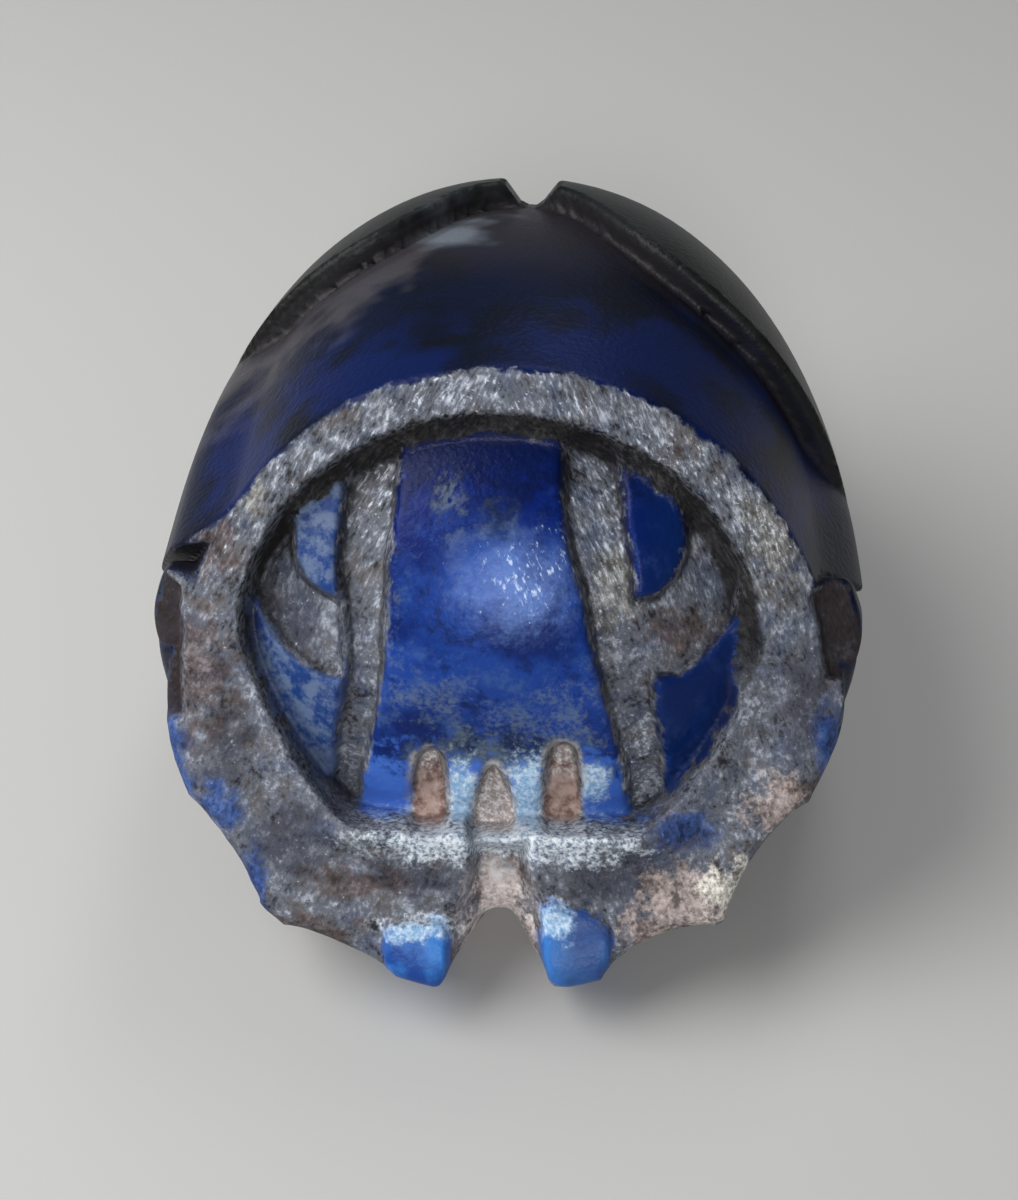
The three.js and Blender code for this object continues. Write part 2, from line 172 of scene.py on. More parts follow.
# %% The dome, the wing cases, the thorax and the legs
HALF_WIDTH = 6.45
DOME_Z, DOME_HEIGHT, DOME_BELOW = 2.7, 7.8, 6.2
DOME_Y, BACK_LENGTH, FRONT_LENGTH = -2.3, 10.65, 10.1
BACK_POWER, FRONT_POWER, SECTION_POWER = 2.2, 4.1, 2.1
STEP, STEP_FADE, STEP_TILT = 0.5, (5.95, 7.2), 0.125
JOINT_Y, JOINT_PEAK, JOINT_SPREAD, JOINT_TILT, JOINT_LAP = 0.2, 3.0, 1.7, -0.16, 0.35
SEAM_DEPTH, SEAM_HALF = 0.12, 0.12
SUTURE_X, SUTURE_FLOOR, SUTURE_MOUTH = 0.12, 0.16, 0.53
EDGE_LOW, EDGE_RISE, EDGE_FROM_Y, EDGE_RUN = 2.3, 4.5, -4.4, 3.0
CORE_INSET, LEG_INSET = 0.5, 0.04
# how round each cut is left, and the factor under 1 that keeps a slanting cut a fair distance
JOINT_ROUND, JOINT_FAIR = 0.06, 0.9
SUTURE_ROUND, SUTURE_FAIR = 0.05, 0.8
EDGE_ROUND, EDGE_FAIR = 0.10, 0.85
LEG_ROUND, LEG_FAIR = 0.16, 0.9
# each leg lies along the side as a rounded bar: from y and z, to y and z, half width
LEGS = [
    ((-4.65, 5.95), (-3.3, 0.6), 0.62),
    ((-2.3, 3.3), (-0.3, 0.5), 0.66),
    ((0.7, 2.7), (3.1, 0.5), 0.62),
    ((4.0, 2.2), (6.1, 0.5), 0.52),
]


def dome(x, y, z):
    y, z = y - DOME_Y, z - DOME_Z
    height = np.where(z > 0, DOME_HEIGHT, DOME_BELOW)
    length = np.where(y > 0, BACK_LENGTH, FRONT_LENGTH)
    power = np.where(y > 0, BACK_POWER, FRONT_POWER)
    a, b, c = (np.abs(value) / size + 1e-6
               for value, size in ((x, HALF_WIDTH), (y, length), (z, height)))
    section = (a ** SECTION_POWER + c ** SECTION_POWER) ** (1 / SECTION_POWER)
    ratio = (section ** power + b ** power) ** (1 / power)
    share = (section / ratio) ** (power - 1)
    across = share * (a / section) ** (SECTION_POWER - 1) / HALF_WIDTH
    upward = share * (c / section) ** (SECTION_POWER - 1) / height
    along = (b / ratio) ** (power - 1) / length
    return (ratio - 1) / np.sqrt(across ** 2 + upward ** 2 + along ** 2)


def joint_line(x):
    return JOINT_Y + JOINT_PEAK / (1 + (np.abs(x) / JOINT_SPREAD) ** 3) + JOINT_TILT * x


def edge_line(y):
    """How high the lower edge of the wing cases is: it rises steeply towards the head."""
    return EDGE_LOW + EDGE_RISE * np.exp(-(y - EDGE_FROM_Y) / EDGE_RUN)


def body(x, y, z):
    skin = dome(x, y, z)
    joint = joint_line(x)
    seam = SEAM_DEPTH * (1 - rise(0, SEAM_HALF, np.abs(y - joint)))
    lowered = skin + STEP * rise(*STEP_FADE, z + STEP_TILT * x)
    skin = skin + seam
    depth = np.clip((skin + CORE_INSET) / CORE_INSET, 0, 1.5)
    suture = np.abs(x - SUTURE_X) - blend(SUTURE_FLOOR, SUTURE_MOUTH, depth)
    wing_cases = soft_cut(skin, (joint - y) * JOINT_FAIR, JOINT_ROUND)
    wing_cases = soft_cut(wing_cases, -suture * SUTURE_FAIR, SUTURE_ROUND)
    thorax = np.maximum(lowered, y - joint - JOINT_LAP)
    upper = np.minimum(wing_cases, thorax)
    upper = soft_cut(upper, (edge_line(y) - z) * EDGE_FAIR, EDGE_ROUND)
    legs = np.minimum.reduce([bar(y, z, *one) for one in LEGS])
    legs = soft_cut(skin + LEG_INSET, legs * LEG_FAIR, LEG_ROUND)
    return np.minimum(np.minimum(upper, skin + CORE_INSET), legs)


# %% [markdown]
# ## The face
# The front of the pebble was sawn off at a slant, and the face is carved into that flat.
# It has its own directions, which keep the numbers simple: u across, v up the slope and n out
# of it. Round its lower edge the head shield ends in six blunt teeth, three on each side of a V.

# %% The face's own directions and the toothed outline of the head shield
SLOPE = np.radians(56.5)
TIP_Y, TIP_Z = -8.5, 0.85
FAN_V, FAN_DRAFT, CHEEK_RADIUS = 5.6, 0.08, 5.86
# each tooth from and to so many degrees off the middle, and its radius; then the hollows between
RIGHT_TEETH = ((8.0, 18.0, 5.73), (39.0, 41.0, 5.80), (65.0, 67.0, 5.66))
LEFT_TEETH = ((8.0, 17.5, 5.77), (37.5, 43.0, 5.94), (64.0, 66.0, 5.88))
RIGHT_HOLLOWS, LEFT_HOLLOWS, HOLLOW_ROUND = (0.38, 0.36), (0.22, 0.24), 0.65
NOTCH_V, NOTCH_HALF, NOTCH_ROUND = 1.475, 0.90, 0.22
CHEEK_FLARE = 0.35


def to_face(x, y, z):
    dy, dz = y - TIP_Y, z - TIP_Z
    return x, dy * np.cos(SLOPE) + dz * np.sin(SLOPE), dz * np.cos(SLOPE) - dy * np.sin(SLOPE)


def from_face(u, v, n):
    return (u, TIP_Y + v * np.cos(SLOPE) - n * np.sin(SLOPE),
            TIP_Z + v * np.sin(SLOPE) + n * np.cos(SLOPE))


def fan_radius(angle, teeth, hollows):
    crowns = [(end, radius) for start, stop, radius in teeth for end in (start, stop)]
    angles, radii = zip(*crowns, (90.0, CHEEK_RADIUS))
    radius = np.interp(angle, angles, radii)
    for (_, start, _), (stop, _, _), hollow in zip(teeth, teeth[1:], hollows):
        t = np.clip((angle - start) / (stop - start), 0, 1)
        radius -= hollow * np.sin(np.pi * t) ** HOLLOW_ROUND
    return radius


def notch(u, v):
    """How far inside the V a point is; the fourth powers round its apex."""
    return NOTCH_HALF * (NOTCH_V - v) / NOTCH_V - (u ** 4 + NOTCH_ROUND ** 4) ** 0.25


def shield(u, v, n):
    angle = np.degrees(np.arctan2(np.abs(u), FAN_V - v))
    right = fan_radius(angle, RIGHT_TEETH, RIGHT_HOLLOWS)
    radius = np.where(u > 0, right, fan_radius(angle, LEFT_TEETH, LEFT_HOLLOWS))
    draft = FAN_DRAFT * np.maximum(-n, 0)
    fan = (np.hypot(u, v - FAN_V) - radius) * 0.95 - draft
    above = np.abs(u) - CHEEK_RADIUS - CHEEK_FLARE * (v - FAN_V) - draft
    fan = np.where(v > FAN_V, above, fan)
    return soft_cut(fan, notch(u, v) * 0.85, 0.12)


# %% [markdown]
# ## What is carved into the face
# A raised ring runs all round: the thorax rim above, the cheeks beside and the shield below.
# The head lies inside it. Two straight grooves set off its middle panel, and a crescent
# is sunk under each eye. Three pits part the head from the shield, and two polished pads sit
# on the middle teeth. Every one of these is a distance in the u, v plane, so the same numbers
# carve the form here and say later where the stone is polished and where it is rough.

# %% Outlines on the face
MOUTH = ((-0.1, 5.85), (4.27, 3.72))
FOOT_HALF, FOOT_FLARE, RIDGE_V = 2.85, 0.55, 2.74
WALL_LEAST, WALL_MOST, WALL_FROM, WALL_TO = 0.06, 0.34, (-16, -2), (135, 170)
STRAIGHT_GROOVES = (
    ((9.9, -2.05, 0.38), (7.3, -2.28, 0.45), (5.4, -2.24, 0.33), (2.7, -2.76, 0.26)),
    ((9.9, 1.31, 0.40), (7.9, 1.42, 0.49), (6.6, 1.72, 0.42), (5.5, 2.0, 0.45), (2.9, 2.53, 0.32)),
)
CRESCENTS = (
    (-1, (-2.60, 7.00), (1.62, 1.78), (-2.62, 7.49), (0.88, 0.97)),
    (1, (2.00, 7.00), (1.85, 1.75), (2.20, 7.75), (0.72, 1.05)),
)
# pits: middle, half width and half length, and how much they narrow upwards
PITS = ((-1.21, 3.32, 0.34, 0.68, 0.4), (-0.13, 3.20, 0.42, 0.62, 0.85), (1.02, 3.44, 0.36, 0.72, 0.4))
# pads: middle, half width and half length, and how their upper edge tilts
PADS = ((-1.37, 0.44, 0.55, 0.66, 0.0), (1.31, 0.66, 0.60, 0.74, -0.38))
CHANNEL_TOP, CHANNEL_END, CHANNEL_HALF, CHANNEL_MOUTH = 2.25, 0.50, 0.30, (0.87, 0.55)
# the outer strip of each cheek lies lower: side, inner u, lower v, upper v there, lean and slant
CHEEK_STRIPS = ((-1, 5.40, 4.4, 6.62, 0.0, 0.9), (1, 5.04, 5.3, 6.75, 0.2, 1.1))


def opening(u, v):
    """Distance to the opening's mouth, and the width of the slanted wall there."""
    round_part = oval(u, v, *MOUTH)
    sides = (np.abs(u + 0.05) - FOOT_HALF - FOOT_FLARE * (v - RIDGE_V)) * 0.87
    mouth = soft_cut(soft_cut(round_part, sides, 0.4), RIDGE_V - v, 0.15)
    angle = np.degrees(np.arctan2(v - MOUTH[0][1], u - MOUTH[0][0]))
    widen = rise(*WALL_FROM, angle) * (1 - rise(*WALL_TO, angle))
    return mouth, blend(WALL_LEAST, WALL_MOST, widen)


def straight_groove(u, v, stations):
    heights, middles, halves = (np.array(row)[::-1] for row in zip(*stations))
    inside = np.abs(u - np.interp(v, heights, middles)) - np.interp(v, heights, halves)
    return np.maximum(inside, heights[0] - v)


def crescent(u, v, side, middle, radii, eye_middle, eye_radii):
    ring = np.maximum(oval(u, v, middle, radii), -oval(u, v, eye_middle, eye_radii))
    return np.maximum(ring, side * (middle[0] - u))


def pit(u, v, at_u, at_v, half, length, point):
    narrow = 1 - point * np.clip((v - at_v + length) / (2 * length), 0, 1) ** 2
    a = np.maximum(np.abs(u - at_u) - half * narrow + 0.2, 0)
    b = np.maximum(np.abs(v - at_v) - length + 0.2, 0)
    inner = np.maximum(np.abs(u - at_u) - half * narrow, np.abs(v - at_v) - length)
    return np.where(inner > -0.2, np.hypot(a, b) - 0.2, inner)


def strip(u, v, side, inner, low, high, lean, slant):
    out = side * u - inner
    return np.maximum(np.maximum(lean * (high - v) - out, low - v), v - high - slant * out)


def pad(u, v, at_u, at_v, half, length, tilt):
    a, b = (u - at_u) / half, (v - at_v - tilt * (u - at_u)) / length
    return ((a ** 6 + b ** 6) ** (1 / 6) - 1) * half


def channel(u, v):
    """The channel that leads into the V: below 0 on its floor, 1 where its sloping sides end."""
    floor = np.maximum(CHANNEL_HALF, NOTCH_HALF * (NOTCH_V - v) / NOTCH_V)
    mouth = blend(*CHANNEL_MOUTH, rise(1.2, 2.2, v))
    across = (np.abs(u) - floor) / np.maximum(mouth - floor, 0.05)
    return np.maximum(across, (v - CHANNEL_TOP) / CHANNEL_END)


# %% Heights on the face
GROOVE_DEPTH, CRESCENT_DEPTH, PIT_FLOOR, PAD_HEIGHT, CHANNEL_DEPTH = 0.34, 0.30, -0.45, 0.16, 0.55
STRIP_DEPTH = 0.28
RING_BASE, RING_CLIMB, RING_ROLL = 0.12, 0.085, 0.022
HOLLOW_RADIUS, HOLLOW_WIDTH, HOLLOW_DEPTH, HOLLOW_END = 4.55, 0.45, 0.16, (4, 5)
HEAD_TOP, HEAD_V, HEAD_BEND_U, HEAD_BEND_V, HEAD_OVER_RING = 1.25, 6.7, 0.08, 0.11, 0.9
DIP_DEPTH, DIP_V, DIP_TALL, DIP_WIDE = 0.35, 4.3, 0.75, 1.6
RIDGE_HEIGHT, RIDGE_CREST, RIDGE_WIDTH, RIDGE_END = 0.22, 2.62, 0.26, (2.4, 3.4)


def ring_height(u, v):
    roll = RING_ROLL * u * u * np.clip(v / 4, 0.2, 1)
    from_hollow = (np.hypot(u, v - FAN_V) - HOLLOW_RADIUS) / HOLLOW_WIDTH
    middle = (v < FAN_V) * (1 - rise(*HOLLOW_END, np.abs(u)))
    hollow = HOLLOW_DEPTH * np.exp(-from_hollow ** 2) * middle
    return RING_BASE + RING_CLIMB * np.clip(v, 0, 12) - roll - hollow


def head_height(u, v):
    dip = DIP_DEPTH * np.exp(-((v - DIP_V) / DIP_TALL) ** 2 - (u / DIP_WIDE) ** 2)
    return HEAD_TOP - HEAD_BEND_U * u * u - HEAD_BEND_V * (v - HEAD_V) ** 2 - dip


def face_height(u, v, wear):
    cuts = [GROOVE_DEPTH * (1 - rise(-0.14, 0.10, straight_groove(u, v, stations) + wear))
            for stations in STRAIGHT_GROOVES]
    cuts += [CRESCENT_DEPTH * (1 - rise(-0.14, 0.10, crescent(u, v, *one) + wear)) for one in CRESCENTS]
    head = head_height(u, v) - np.maximum.reduce(cuts)
    ring = ring_height(u, v)
    mouth, wall = opening(u, v)
    climb = np.clip((mouth + wall + 0.08) / (wall + 0.14), 0, 1)
    height = blend(np.minimum(head, ring + HEAD_OVER_RING), ring, climb)
    ridge = np.exp(-((v - RIDGE_CREST) / RIDGE_WIDTH) ** 2) * (1 - rise(*RIDGE_END, np.abs(u)))
    height = height + RIDGE_HEIGHT * ridge
    for one in PADS:
        height = height + PAD_HEIGHT * (1 - rise(-0.08, 0.05, pad(u, v, *one)))
    height = height - CHANNEL_DEPTH * (1 - rise(-0.1, 1.0, channel(u, v) + 2 * wear))
    for one in CHEEK_STRIPS:
        height = height - STRIP_DEPTH * (1 - rise(-0.10, 0.10, strip(u, v, *one) + wear))
    for one in PITS:
        height = blend(PIT_FLOOR, height, rise(-0.14, 0.06, pit(u, v, *one) + wear))
    return height


# %% The whole stone as one distance
# the worn edges waver: by how much, over what length, and which row of random values
WAVERS = ((0.05, 0.5, 1), (0.03, 0.22, 2))
FACE_FAIR, FACE_ROUND, SHIELD_ROUND, BELLY_ROUND = 0.75, 0.10, 0.30, 0.10


def stone(x, y, z, worn=True):
    u, v, n = to_face(x, y, z)
    wear = 0.0
    if worn:
        wear = sum(amount * grain(x, y, z, size, seed) for amount, size, seed in WAVERS)
    face = (n - face_height(u, v, wear)) * FACE_FAIR
    whole = soft_cut(body(x, y, z), face, FACE_ROUND)
    whole = soft_cut(whole, shield(u, v, n), SHIELD_ROUND)
    return soft_cut(whole, -z, BELLY_ROUND)


def distances(x, y, z, worn=True, part=60000):
    """The same for many points at once, shared out over the processor's cores."""
    starts = range(0, len(x), part)
    with ThreadPoolExecutor() as cores:
        done = cores.map(lambda i: stone(x[i:i + part], y[i:i + part], z[i:i + part], worn), starts)
        return np.concatenate(list(done))


# %% [markdown]
# ## From distances to a mesh
# A grid of distances is turned into faces where the sign changes. The face needs small faces
# for its carving and the back doesn't, so the grid widens with its distance behind the face,
# like a beam of light. Only blocks near the surface are worked out in full, which saves most
# of the time. At the end each corner slides down its own slope until its distance is zero.

# %% The grid that widens backwards
CELL = 0.075
NEAR = 2.0
FINE_DEPTH = 3.2
GROWTH = 0.19
MIDDLE_V = 5.5
GRID_DEPTH, GRID_ACROSS, GRID_UP = 10.6, (-6.6, 6.6), (-6.2, 8.0)
BLOCK = 8


def grid_to_stone(i, j, k):
    straight = k * CELL
    past = np.maximum(straight - FINE_DEPTH, 0)
    depth = np.minimum(straight, FINE_DEPTH) + (np.exp(GROWTH * past) - 1) / GROWTH
    scale = CELL * (1 + GROWTH * np.maximum(depth - FINE_DEPTH, 0))
    return from_face(i * scale, MIDDLE_V + j * scale, NEAR - depth)


def block_starts(low, high):
    return np.arange(int(low / CELL) - BLOCK, int(high / CELL) + BLOCK, BLOCK)


def sample_grid():
    starts = [block_starts(*GRID_ACROSS), block_starts(*GRID_UP),
              np.arange(0, int(GRID_DEPTH / CELL) + BLOCK, BLOCK)]
    sizes = [len(row) * BLOCK for row in starts]
    corner = np.stack(np.meshgrid(*starts, indexing="ij"), -1).reshape(-1, 3)
    middle = np.array(grid_to_stone(*(corner + BLOCK / 2).T))
    edge = np.array(grid_to_stone(*(corner + BLOCK).T))
    reach = np.linalg.norm(edge - middle, axis=0)
    far = distances(*middle, worn=False)
    values = np.sign(far).astype(np.float32)
    near = np.abs(far) < reach * 1.5 + 0.15
    cells = np.stack(np.meshgrid(*[np.arange(BLOCK)] * 3, indexing="ij"), -1).reshape(-1, 3)
    spots = (corner[near][:, None] + cells[None]).reshape(-1, 3)
    full = np.repeat(values, BLOCK ** 3).reshape(-1, BLOCK ** 3)
    full[near] = distances(*grid_to_stone(*spots.T.astype(float))).reshape(-1, BLOCK ** 3)
    shape = [len(row) for row in starts]
    full = full.reshape(*shape, BLOCK, BLOCK, BLOCK).transpose(0, 3, 1, 4, 2, 5).reshape(sizes)
    print("grid:", sizes, "of them near the surface:", len(spots))
    return np.ascontiguousarray(full), [row[0] for row in starts]


# %% Faces where the distance is zero
def slope_of(x, y, z, reach=0.012):
    across = distances(x + reach, y, z) - distances(x - reach, y, z)
    along = distances(x, y + reach, z) - distances(x, y - reach, z)
    upward = distances(x, y, z + reach) - distances(x, y, z - reach)
    return np.stack([across, along, upward]) / (2 * reach)


SLIDES, LONGEST_SLIDE = 3, 0.06


def carve():
    values, first = sample_grid()
    grid = openvdb.FloatGrid(1.0)
    grid.copyFromArray(values)
    points, quads = grid.convertToQuads(0.0)
    points = np.array(grid_to_stone(*(points + first).T.astype(float)))
    for _ in range(SLIDES):
        slope = slope_of(*points)
        steep = np.maximum((slope ** 2).sum(0), 0.2)
        points = points - slope * np.clip(distances(*points) / steep, -LONGEST_SLIDE, LONGEST_SLIDE)
    return points, quads


points, quads = carve()
print("corners:", points.shape[1], "faces:", len(quads))

# %% [markdown]
# ## Where the stone is polished, rough, brown or pale
# The same distances now become masks, one number per corner of the mesh. Each is a distance in
# millimetres, so the material can move the border between two finishes with noise, and it
# stays crisp between the corners. Painting a picture would blur, and wouldn't follow a change.

# %% Masks from the distances
def masks(x, y, z):
    u, v, n = to_face(x, y, z)
    face = (n - face_height(u, v, 0.0)) * FACE_FAIR
    on_dome = np.clip(body(x, y, z) - face, -2, 2)
    mouth, wall = opening(u, v)
    ground = [straight_groove(u, v, stations) for stations in STRAIGHT_GROOVES]
    ground += [crescent(u, v, *one) for one in CRESCENTS]
    carved = np.minimum.reduce(ground)
    pads = np.minimum.reduce([pad(u, v, *one) for one in PADS])
    pits = np.minimum.reduce([pit(u, v, *one) for one in PITS])
    head = np.minimum(np.minimum(-(mouth + wall), carved), pits)
    return {
        "polish": np.maximum(np.maximum(head, on_dome), -pads),
        "on_dome": on_dome,
        "pits": -pits,
        "pads": -pads,
        "wall": np.minimum(-mouth, mouth + wall),
        "channel": -channel(u, v),
        "strips": -np.minimum.reduce([strip(u, v, *one) for one in CHEEK_STRIPS]),
        "wing_case": np.minimum(y - joint_line(x), z - edge_line(y)),
        "face_u": u,
        "face_v": v,
        "face_n": n,
    }


# %% [markdown]
# A pebble has stains of its own, which no rule gives: a seam of calcite, brown crust, blue spots.
# Other ovals here place painted light and shade: a painted highlight, glints and sheen, and painted shade.
# Each is given as an oval on the face (middle, half width and half height in
# millimetres). The mask is 1 in its middle and 0 at its rim, and noise frays that rim later.

# %% The stone's own stains, and ovals of painted light and shade
STAINS_AND_PAINTED_LIGHT = {
    "blue_spots": ((-5.62, 3.9, 0.30, 0.85), (-5.35, 3.2, 0.25, 0.45), (-4.15, 1.55, 0.32, 0.85),
                   (-4.75, 2.9, 0.5, 0.5), (5.45, 4.3, 0.30, 0.7), (3.0, 2.75, 0.65, 0.45)),
    "crust": ((-5.1, 5.2, 0.7, 1.2), (-3.2, 0.9, 1.1, 0.3), (5.2, 3.4, 0.5, 0.3), (4.7, 2.3, 0.25, 0.7),
              (-2.4, 1.7, 0.8, 0.35), (3.0, 0.95, 0.9, 0.16), (-4.9, 7.4, 0.6, 0.8), (2.9, 6.1, 0.6, 0.4)),
    "pink": ((3.25, 1.55, 0.95, 0.6), (4.6, 3.2, 0.5, 0.5), (2.4, 1.1, 0.5, 0.3)),
    "calcite": ((3.78, 1.78, 0.42, 0.42), (4.05, 2.0, 0.25, 0.3)),
    # painted highlight on the head's panel
    "panel_highlight": ((0.2, 6.95, 1.05, 0.85), (0.45, 6.75, 0.6, 0.6)),
    # painted glints on the ribs between the pits, the ridge and the pads' tops
    "rib_glints": ((-0.68, 3.1, 0.34, 0.75), (0.45, 3.1, 0.44, 0.8), (-0.13, 2.95, 0.45, 0.6),
               (1.55, 3.5, 0.25, 0.4), (0.0, 2.55, 2.1, 0.40), (-1.37, 0.98, 0.6, 0.2),
               (0.98, 1.2, 0.28, 0.35)),
    "flecks": ((0.3, 4.4, 1.4, 0.6), (-1.1, 5.0, 0.8, 0.5), (1.2, 5.1, 0.6, 0.5), (-1.9, 6.1, 0.3, 0.7),
               (-0.9, 8.3, 0.3, 0.6)),
    # painted light, in a warm pale grey, mostly on the tops of the cheeks
    "warm_highlight": ((4.4, 7.75, 0.7, 0.9), (-4.3, 8.3, 0.5, 0.4), (1.75, 6.8, 0.35, 0.7)),
    "sparkle": ((-0.2, 9.85, 1.6, 0.5), (2.4, 8.95, 0.9, 0.5), (4.3, 7.9, 0.9, 0.9), (0.0, 2.5, 2.2, 0.4),
                (1.8, 6.9, 0.5, 1.2), (-2.2, 8.6, 0.6, 0.8), (2.2, 3.6, 0.5, 0.8)),
    "pale": ((-0.13, 3.0, 0.6, 0.8), (-1.21, 3.95, 0.4, 0.35), (1.02, 4.1, 0.45, 0.4)),
    "murk": ((-0.1, 4.05, 1.3, 0.4), (-0.1, 7.9, 0.3, 0.3)),
    "shade": ((1.7, 1.9, 1.0, 0.6), (-3.5, 2.4, 0.9, 0.6), (2.3, 2.3, 0.8, 0.5), (-1.4, 1.9, 0.9, 0.5),
              (5.0, 5.0, 0.5, 0.9), (-4.6, 4.0, 0.5, 0.8), (-3.5, 6.2, 0.8, 0.8)),
    "sheen": ((-1.0, 13.25, 1.3, 0.35), (-1.2, 12.62, 1.0, 0.28)),
    "bright_blue": ((-4.4, 8.6, 0.7, 1.0), (1.7, 10.4, 1.8, 0.8), (-2.0, 10.0, 1.6, 0.7),
                    (3.6, 9.4, 1.2, 0.8), (4.9, 8.2, 0.6, 0.9)),
}
# the sheen on the thorax ends this far behind the face's flat, so that it doesn't show at the rear
SHEEN_BEHIND = 4.5


def stain_and_light_mark(u, v, ovals):
    marks = [1 - np.hypot((u - at_u) / half, (v - at_v) / tall) for at_u, at_v, half, tall in ovals]
    return np.clip(np.maximum.reduce(marks), -1, 1)


# %% Hollows and edges
def hollow_and_edge(points, normals, steep, reach):
    """A step out of a hollow stays near stone, and a step in from an edge soon leaves it."""
    out = distances(*(points + normals * reach))
    inside = distances(*(points - normals * reach))
    return 1 - out / (reach * steep), 1 + inside / (reach * steep)


slopes = slope_of(*points)
steep = np.linalg.norm(slopes, axis=0)
normals = slopes / steep
layers = masks(*points)
for name, ovals in STAINS_AND_PAINTED_LIGHT.items():
    layers[name] = stain_and_light_mark(layers["face_u"], layers["face_v"], ovals)
layers["sheen"] = np.minimum(layers["sheen"], layers.pop("face_n") + SHEEN_BEHIND)
layers["hollow"], layers["edge"] = hollow_and_edge(points, normals, steep, 0.2)
layers["deep"], _ = hollow_and_edge(points, normals, steep, 0.6)
print("polished share:", round(float((layers["polish"] > 0).mean()), 3))

# %% Grain of the rough ground, as real bumps
rough = 1 - rise(-0.10, 0.04, layers["polish"])
bumps = 0.6 * grain(*points, 0.30, 6) + 0.4 * grain(*points, 0.15, 7)
smooth_waves = grain(*points, 1.6, 8)
points = points + normals * (0.020 * rough * bumps + 0.008 * (1 - rough) * smooth_waves)

# %% Seat the stone in the solid's box
middle_y = (stone_low.y + stone_high.y) / 2 / MM - (points[1].min() + points[1].max()) / 2
points[1] += middle_y
low = np.array(stone_low) / MM
high = np.array(stone_high) / MM
for axis in range(3):
    start, end = points[axis].min(), points[axis].max()
    share = (high[axis] - low[axis]) / (end - start)
    points[axis] = low[axis] + (points[axis] - start) * share
    print("axis", axis, "fits the solid at", round(float(share), 4))

# %% Make the mesh
mesh = bpy.data.meshes.new("scarab_stone")
mesh.from_pydata((points.T * MM).tolist(), [], quads[:, ::-1].tolist())
mesh.validate()
mesh.shade_smooth()
for name, values in layers.items():
    mesh.attributes.new(name, "FLOAT", "POINT").data.foreach_set("value", values.astype(np.float32))
scarab = bpy.data.objects.new("scarab_stone", mesh)
bpy.context.collection.objects.link(scarab)
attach(scarab, "root")
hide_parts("scarab")
print("triangles:", sum(len(face.vertices) - 2 for face in mesh.polygons))

# %% [markdown]
# ## The lapis lazuli
# Lapis is a rock, not one mineral: blue lazurite, clouded with darker and greyer parts, pale
# calcite and tiny grains of pyrite. Where it is polished it looks deep and wet. Where the tool
# left it rough, the same stone is pale grey, because light scatters at the broken grains.
# One material mixes the two finishes by the mask, and noise breaks the border between them.

# %% Node helpers
def add_node(tree, kind, inputs=None, **settings):
    made = tree.nodes.new(kind)
    for name, value in settings.items():
        setattr(made, name, value)
    for key, value in (inputs or {}).items():
        if isinstance(value, bpy.types.NodeSocket):
            tree.links.new(value, made.inputs[key])
        else:
            made.inputs[key].default_value = value
    return made


def maths(tree, operation, first, second=0.0):
    return add_node(tree, "ShaderNodeMath", {0: first, 1: second}, operation=operation).outputs[0]


def ramp(tree, value, low, high, start=0.0, end=1.0, kind="SMOOTHSTEP"):
    inputs = {"Value": value, "From Min": low, "From Max": high, "To Min": start, "To Max": end}
    return add_node(tree, "ShaderNodeMapRange", inputs, interpolation_type=kind).outputs[0]


def layer(tree, name):
    return add_node(tree, "ShaderNodeAttribute", attribute_name=name).outputs["Fac"]


def noise(tree, where, scale, detail=3.0, roughness=0.55):
    inputs = {"Vector": where, "Scale": scale, "Detail": detail, "Roughness": roughness}
    return add_node(tree, "ShaderNodeTexNoise", inputs).outputs[0]


def mixed(tree, amount, first, second, how="MIX"):
    inputs = {0: amount, 6: first, 7: second}
    return add_node(tree, "ShaderNodeMix", inputs, data_type="RGBA", blend_type=how).outputs[2]


def colour(red, green, blue):
    """A colour as a paint chart gives it, turned to the linear light that shading needs."""
    chart = [value / 255 for value in (red, green, blue)]
    return tuple(c / 12.92 if c < 0.04045 else ((c + 0.055) / 1.055) ** 2.4 for c in chart) + (1.0,)


def frayed(tree, mask, fray, low, high, most=1.0):
    """A mask whose border a noise pushes in and out, as 0 to `most`."""
    moved = maths(tree, "ADD", mask, fray)
    return ramp(tree, moved, low, high, 0.0, most)


# %% Strokes that the abrasive left, longer than they are wide
def strokes(tree, where, slant, width, length, detail=3.0):
    on_face = add_node(tree, "ShaderNodeMapping", {"Vector": where, "Rotation": (SLOPE, 0, 0)},
                       vector_type="TEXTURE").outputs[0]
    inputs = {"Vector": on_face, "Rotation": (0, 0, slant), "Scale": (width, length, width)}
    turned = add_node(tree, "ShaderNodeMapping", inputs, vector_type="TEXTURE").outputs[0]
    return noise(tree, turned, 1.0, detail, 0.6)


def all_strokes(tree, where):
    """Long strokes lean inwards on both sides, grit breaks them low down, short ones cross them."""
    left = strokes(tree, where, -0.5, 0.07, 0.21, 5.0)
    right = strokes(tree, where, 0.45, 0.06, 0.19, 5.0)
    side = ramp(tree, layer(tree, "face_u"), -1.5, 1.5)
    long = add_node(tree, "ShaderNodeMix", {0: side, 2: left, 3: right}).outputs[0]
    grit = noise(tree, where, 12.0, 4.0, 0.65)
    low = ramp(tree, layer(tree, "face_v"), 8.0, 5.0, 0.0, 0.62)
    long = add_node(tree, "ShaderNodeMix", {0: low, 2: long, 3: grit}).outputs[0]
    long = ramp(tree, long, 0.1, 0.9, kind="LINEAR")
    short = strokes(tree, where, 1.1, 0.04, 0.11, 3.0)
    return long, maths(tree, "MAXIMUM", long, maths(tree, "SUBTRACT", short, 0.03))


# %% Colours of the rough ground
# the brown crust, the pink and the calcite are the stone's own colours; the warm pale grey is painted
# light
STAIN_AND_HIGHLIGHT_COLOURS = (
    ("crust", (88, 70, 64), 0.65), ("pink", (172, 156, 150), 0.8), ("warm_highlight", (150, 147, 138), 0.6),
    ("calcite", (220, 215, 205), 0.95),
)


